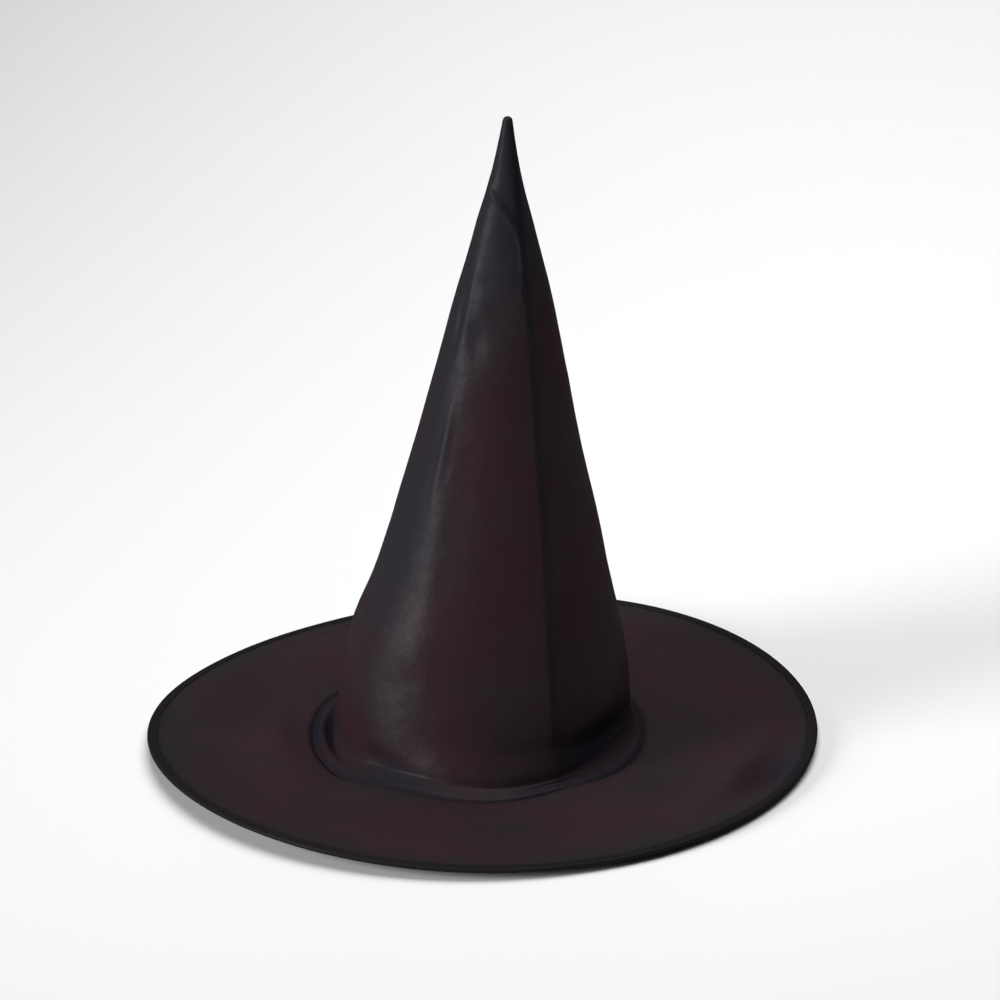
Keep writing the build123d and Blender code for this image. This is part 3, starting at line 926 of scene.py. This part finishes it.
def stitch_row(name, node, starts, ends, outs, width=0.42, height=0.28):
    """One mesh of arched thread stitches that dip into the cloth at both ends."""
    steps, sides = 7, 8
    t = np.linspace(0, 1, steps)
    turns = np.linspace(0, 2 * math.pi, sides, endpoint=False)
    swell = width / 2 * (0.55 + 0.45 * np.sin(math.pi * t))
    arch = height * np.sin(math.pi * t) - STITCH_DIP
    points, faces, uv = [], [], []
    for start, end, out in zip(starts, ends, outs):
        line = start + t[:, None] * (end - start) + arch[:, None] * out
        length = np.linalg.norm(end - start)
        side = np.cross((end - start) / length, out)
        ring = np.cos(turns)[:, None] * side + 0.75 * np.sin(turns)[:, None] * out
        index = len(points) * steps * sides + np.arange(steps * sides).reshape(steps, sides)
        flat = flat_uv(np.arange(sides + 1) * 0.15, np.arange(steps + 1) * length / 6)[..., ::-1]
        around, around_uv = loop_faces(index, flat, skipped=steps - 1)
        points.append(line[:, None] + swell[:, None, None] * ring)
        faces += around + [tuple(index[0]), tuple(index[-1])]
        uv += around_uv + [(0.0, 0.0)] * (2 * sides)
    piece = mesh_object(name, np.concatenate([p.reshape(-1, 3) for p in points]), faces, np.array(uv))
    return stand(piece, node, black_thread)


def ring_stitches(count, fill, place):
    """Starts, ends and outward directions of a row of stitches. place(azimuths) gives points and normals."""
    step = 360 / count
    begin = -180 + step * (np.arange(count) + 0.5)
    starts, outs = place(begin)
    ends, _ = place(begin + step * fill)
    return starts, ends, outs


def on_binding(azimuths):
    points = brim_points(azimuths, STITCH_RADIUS, BINDING_TOP - 0.12)
    return points, np.broadcast_to((0.0, 0.0, 1.0), points.shape)


def on_lining(depth, share):
    """Places for stitches on the inner face of the foot at a depth, a share of the way up it."""

    def place(azimuths):
        step = 0.5
        rows = np.array([share - 0.03, share, share + 0.03])[:, None]
        near = foot_points(azimuths, rows)
        along = foot_points(azimuths + step, share) - foot_points(azimuths - step, share)
        normal = unit(np.cross(along, near[2] - near[0]))
        points = near[1] - depth * normal
        points[..., 2] += LIFT
        return points, -normal

    return place


stitch_row("brim_stitches", "brim_edge_stitching", *ring_stitches(400, 0.74, on_binding))
seam_row = ring_stitches(200, 0.8, on_lining(SEAM_THREAD_DEPTH, 0.3))
stitch_row("seam_stitches", "base_seam_stitching", *seam_row, height=0.12)
tape_row = ring_stitches(180, 0.8, on_lining(TAPE_THREAD_DEPTH, 0.34))
stitch_row("tape_stitches", "head_tape_stitching", *tape_row)


def make_wire():
    azimuths = rings(540)
    line = brim_points(azimuths, EDGE_CENTRE, EDGE_ROUND)
    grid = tube(line, WIRE_RADIUS, 10, closed=True)
    rows = np.moveaxis(grid, 0, 1)
    uv = strip_uv(azimuths, BRIM_RADIUS, np.arange(11) * 0.4)
    index = np.arange(rows.size // 3).reshape(rows.shape[:2])
    faces, corner_uv = loop_faces(index, uv)
    piece = mesh_object("edge_wire", rows.reshape(-1, 3), faces, np.array(corner_uv))
    stand(piece, "brim_wire", spring_steel)


def make_ferrule():
    """A crimped tube over the wire's two ends at the back."""
    azimuths = 180 + np.linspace(-3.0, 3.0, 41)
    line = brim_points(azimuths, EDGE_CENTRE, EDGE_ROUND)
    along = np.linspace(-1, 1, 41)
    crimp = 0.93 - 0.06 * (bell(along - 0.45, 0.12) + bell(along + 0.45, 0.12))
    outer = tube(line, crimp, 14)
    inner = tube(line, np.minimum(crimp - 0.12, 0.76), 14)
    piece = shell("wire_ferrule", outer, inner, flat_uv(np.arange(15) * 0.4, np.linspace(0, 20, 41)))
    stand(piece, "brim_wire_ferrule", crimped_tube)


make_wire()
make_ferrule()


# -------- inside the crown


def make_crown_interlining():
    face = crown_layer(0.0)
    heights = face[..., 2].mean(axis=1) - LIFT
    deeper = (0.5 + 0.4 * soft(heights, ALLOWANCE_TOP, ALLOWANCE_TOP + 6))[:, None, None]
    high = crown_layer(deeper)[:, 1:-1]
    low = crown_layer(deeper + 0.4)[:, 1:-1]
    azimuths = CROWN_AZIMUTHS[::2][1:-1]
    piece = shell("crown_stiffener", high, low, sector_uv(azimuths, heights), closed=False)
    return stand(piece, "crown_interlining", stiffener_felt)


def make_head_tape():
    azimuths = rings(300)
    overlap = soft(azimuths, 152.5, 153.5) * (1 - soft(azimuths, 166.5, 167.5))
    outer = crown_grid(azimuths, TAPE_TOP, np.linspace(0, 1, 1 + int(16 * DETAIL))[1:])
    normal = normals(outer, True)
    back_depth = TAPE_BACK_DEPTH + 0.5 * overlap[:, None]
    high = (outer - TAPE_DEPTH * normal)[6:]
    low = (outer - back_depth * normal)[6:]
    uv = strip_uv(azimuths, TAPE_RADIUS, distance_along(high[:, 0]))
    piece = shell("head_tape_ribbon", high, low, uv)
    return stand(piece, "head_tape", tape_grosgrain)


crown_stiffener = make_crown_interlining()
head_tape_ribbon = make_head_tape()


def make_join_tack():
    """A column of stitches over the tape's overlapped ends."""
    heights = np.linspace(16, 25, 9)
    inward = np.append(-direction(160.0), 0.0)
    shift = TACK_THREAD_DEPTH * inward + (0, 0, LIFT)
    starts, ends = (wall_points(azimuth, heights) + shift for azimuth in (158.4, 161.6))
    outs = np.broadcast_to(inward, starts.shape)
    stitch_row("tape_join_stitches", "head_tape_join_tack", starts, ends, outs)


make_join_tack()


# -------- back seam and label

hinge = frame["joints"][0]
HINGE_POINT = np.array(hinge["pos_m"]) / MM
HINGE_AXIS = unit(np.array(hinge["axis"]))
FRONT = np.array([0, -1.0, 0])
INWARD = unit(FRONT - HINGE_AXIS * (HINGE_AXIS @ FRONT))
FACE = np.cross(HINGE_AXIS, INWARD)
LABEL_WIDTH = 25.0
LABEL_LENGTH = 38.0
LABEL_HALF = 0.09  # half the ribbon's thickness
SEAM_ALLOWANCE = 10.0
ALLOWANCE_BOTTOM = 30.0
ALLOWANCE_HALF = 0.4


def free_edge(heights):
    """The allowance's free edge: parallel to the wall, and on the hinge line beside the label."""
    wall = wall_points(180.0, heights)
    wall[:, 1] -= CROWN_CLOTH
    radius = through(heights, CROWN_RADIUS)
    inner = wall.copy()
    inner[:, 1] -= np.minimum(SEAM_ALLOWANCE, 0.7 * radius)
    lifted = heights + LIFT
    on_hinge = HINGE_POINT + ((lifted - HINGE_POINT[2]) / HINGE_AXIS[2])[:, None] * HINGE_AXIS
    near = bell(lifted - HINGE_POINT[2], 24)[:, None] ** 0.5
    near = np.clip(1.6 * near - 0.6, 0, 1)
    inner = inner + near * (on_hinge - np.array([0, -0.4, 0]) - np.column_stack([inner[:, :2], lifted]))
    wall[:, 2] += LIFT
    inner[:, 2] = lifted
    return wall, inner


def make_back_allowance():
    """The two edges of the crown's sector, sewn together and standing inside the back seam."""
    heights = np.linspace(ALLOWANCE_BOTTOM, 322, int(120 * DETAIL))
    wall, inner = free_edge(heights)
    share = np.linspace(0, 1, 7)[None, :, None]
    middle = wall[:, None] + share * (inner - wall)[:, None]
    wave = 0.35 * np.sin(heights / 6.5) + 0.25 * np.sin(heights / 2.9 + 1)
    beside = 1 - np.clip(bell(heights + LIFT - HINGE_POINT[2], 22), 0, 1)
    middle[..., 0] += (wave * beside)[:, None] * share[..., 0] ** 2
    side = np.array([ALLOWANCE_HALF, 0, 0])
    uv = flat_uv(np.linspace(0, SEAM_ALLOWANCE, 7), heights)
    piece = shell("crown_back_allowance", middle + side, middle - side, uv, closed=False)
    piece.data.materials.append(crown_satin)
    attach(piece, HAT)
    return piece


def make_back_stitches():
    heights = 34 + np.arange(96) * 3.0
    wall, inner = free_edge(heights)
    starts = wall + 1.5 * unit(inner - wall) + np.array([ALLOWANCE_HALF + 0.06, 0, 0])
    rise = np.gradient(starts, axis=0)
    outs = np.broadcast_to((1.0, 0.0, 0.0), starts.shape)
    stitch_row("crown_seam_stitches", "crown_seam_stitching", starts, starts + 0.78 * rise, outs)


crown_back_allowance = make_back_allowance()
make_back_stitches()


def label_points(along, across, off):
    """Points in the label's own directions: inward from the hinge, along it, and off its face."""
    along, across, off = (np.asarray(v)[..., None] for v in np.broadcast_arrays(along, across, off))
    return HINGE_POINT + along * INWARD + across * HINGE_AXIS + off * FACE


def make_label():
    """A folded loop of white ribbon whose two ends are tacked on the allowance's face."""
    reach = LABEL_LENGTH + 0.5
    there = [(-5.6, 0.84), (-3, 0.84), (-1, 0.72), (1, 0.42), (4, 0.36), (12, 0.62), (22, 0.78), (31, 0.66)]
    fold = [(-0.6, 0.42), (-0.12, 0.22), (0, 0.0), (-0.12, -0.22), (-0.6, -0.40)]
    back = [(31, -0.42), (22, -0.36), (12, -0.22), (4, -0.02), (1, 0.10), (-1, 0.44), (-3, 0.58)]
    path = np.array(there + [(reach + inward, off) for inward, off in fold] + back + [(-5.4, 0.58)])
    steps = distance_along(path)
    fine = np.linspace(0, steps[-1], int(110 * DETAIL))
    u = np.interp(fine, steps, path[:, 0])
    n = through(fine, list(zip(steps, path[:, 1])))
    across = np.linspace(-LABEL_WIDTH / 2, LABEL_WIDTH / 2, 17)
    curl = 0.5 * (across / LABEL_WIDTH * 2) ** 2
    free = soft(u, 4, 30)  # 0 where the label is sewn down, 1 towards its fold
    middle = label_points(u[:, None], across, n[:, None] + free[:, None] * curl)
    out = normals(middle, False) * LABEL_HALF
    piece = shell("care_label_ribbon", middle + out, middle - out, flat_uv(across + 20, fine), closed=False)
    piece.data.materials.append(label_satin)
    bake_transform(piece)
    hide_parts("care_label")
    return piece


def make_label_tack():
    """A column of slanted stitches over the label's two ends."""
    across = np.linspace(-LABEL_WIDTH / 2 + 1.2, LABEL_WIDTH / 2 - 1.2, 12)
    starts = label_points(-4.9, across[:-1], 1.0)
    ends = label_points(-3.3, across[:-1] + 0.9, 1.0)
    outs = np.broadcast_to(FACE, starts.shape)
    stitch_row("care_label_stitches", "care_label_tack", starts, ends, outs, width=0.36)


care_label_ribbon = make_label()
make_label_tack()


# -------- floor, light and camera


FLOOR_HALF = 40.0


def make_floor():
    mesh = bpy.data.meshes.new("floor")
    corners = [(-1, -1, 0), (1, -1, 0), (1, 1, 0), (-1, 1, 0)]
    mesh.from_pydata([Vector(corner) * FLOOR_HALF for corner in corners], [], [(0, 1, 2, 3)])
    r = Recipe("floor_paper")
    tone = r.noise(r.place("Object"), 1.2, 2.0)
    colour = r.mix(tone, (0.82, 0.82, 0.82, 1.0), (0.85, 0.85, 0.85, 1.0))
    mesh.materials.append(r.finish(Base_Color=colour, Roughness=0.9, Specular_IOR_Level=0.1))
    added("floor", mesh)


def area_light(name, place, aim, size, power, spread):
    """A soft box with a grid that keeps its light within a spread, in degrees."""
    light = bpy.data.lights.new(name, "AREA")
    light.spread = math.radians(spread)
    light.shape = "RECTANGLE"
    light.size, light.size_y = size
    light.energy = power
    lamp = added(name, light)
    lamp.location = place
    lamp.rotation_euler = (Vector(aim) - Vector(place)).to_track_quat("-Z", "Y").to_euler()


def make_lights():
    middle = (0.0, 0.0, 0.16)
    area_light("overhead", (0.3, 1.0, 1.8), (0.3, 1.0, 0), (1.6, 3.8), 28.5, 110)
    area_light("key", (-2.41, -1.14, 0.9), middle, (1.0, 1.4), 11.5, 60)
    world = bpy.data.worlds.new("studio")
    world.use_nodes = True
    background = world.node_tree.nodes["Background"].inputs
    background["Color"].default_value = (1.0, 0.99, 0.985, 1.0)
    background["Strength"].default_value = 0.04
    bpy.context.scene.world = world


CAMERA_DISTANCE = 3.0
CAMERA_ELEVATION = 21.35
CAMERA_ROLL = 0.96
CAMERA_LENS = 193.6
AIM_HEIGHT = 150.0
AIM_RIGHT, AIM_UP = 0.01205, -0.00714  # from that point to the middle of the view


def make_camera():
    target = Vector((0, 0, (AIM_HEIGHT + LIFT) * MM))
    e, roll = math.radians(CAMERA_ELEVATION), math.radians(CAMERA_ROLL)
    forward = Vector((0, math.cos(e), -math.sin(e)))
    level_right = Vector((1, 0, 0))
    level_up = level_right.cross(forward)
    right = math.cos(roll) * level_right - math.sin(roll) * level_up
    up = math.sin(roll) * level_right + math.cos(roll) * level_up
    place = target - CAMERA_DISTANCE * forward
    look = (target + AIM_RIGHT * right + AIM_UP * up - place).normalized()
    right = look.cross(up).normalized()
    up = right.cross(look)
    camera = added("camera", bpy.data.cameras.new("camera"))
    camera.matrix_world = Matrix.Translation(place) @ Matrix((right, up, -look)).transposed().to_4x4()
    camera.data.lens = CAMERA_LENS
    camera.data.sensor_width = 36.0
    camera.data.clip_end = 100.0
    bpy.context.scene.camera = camera


make_floor()
make_lights()
make_camera()
bpy.context.scene.view_settings.view_transform = "Standard"
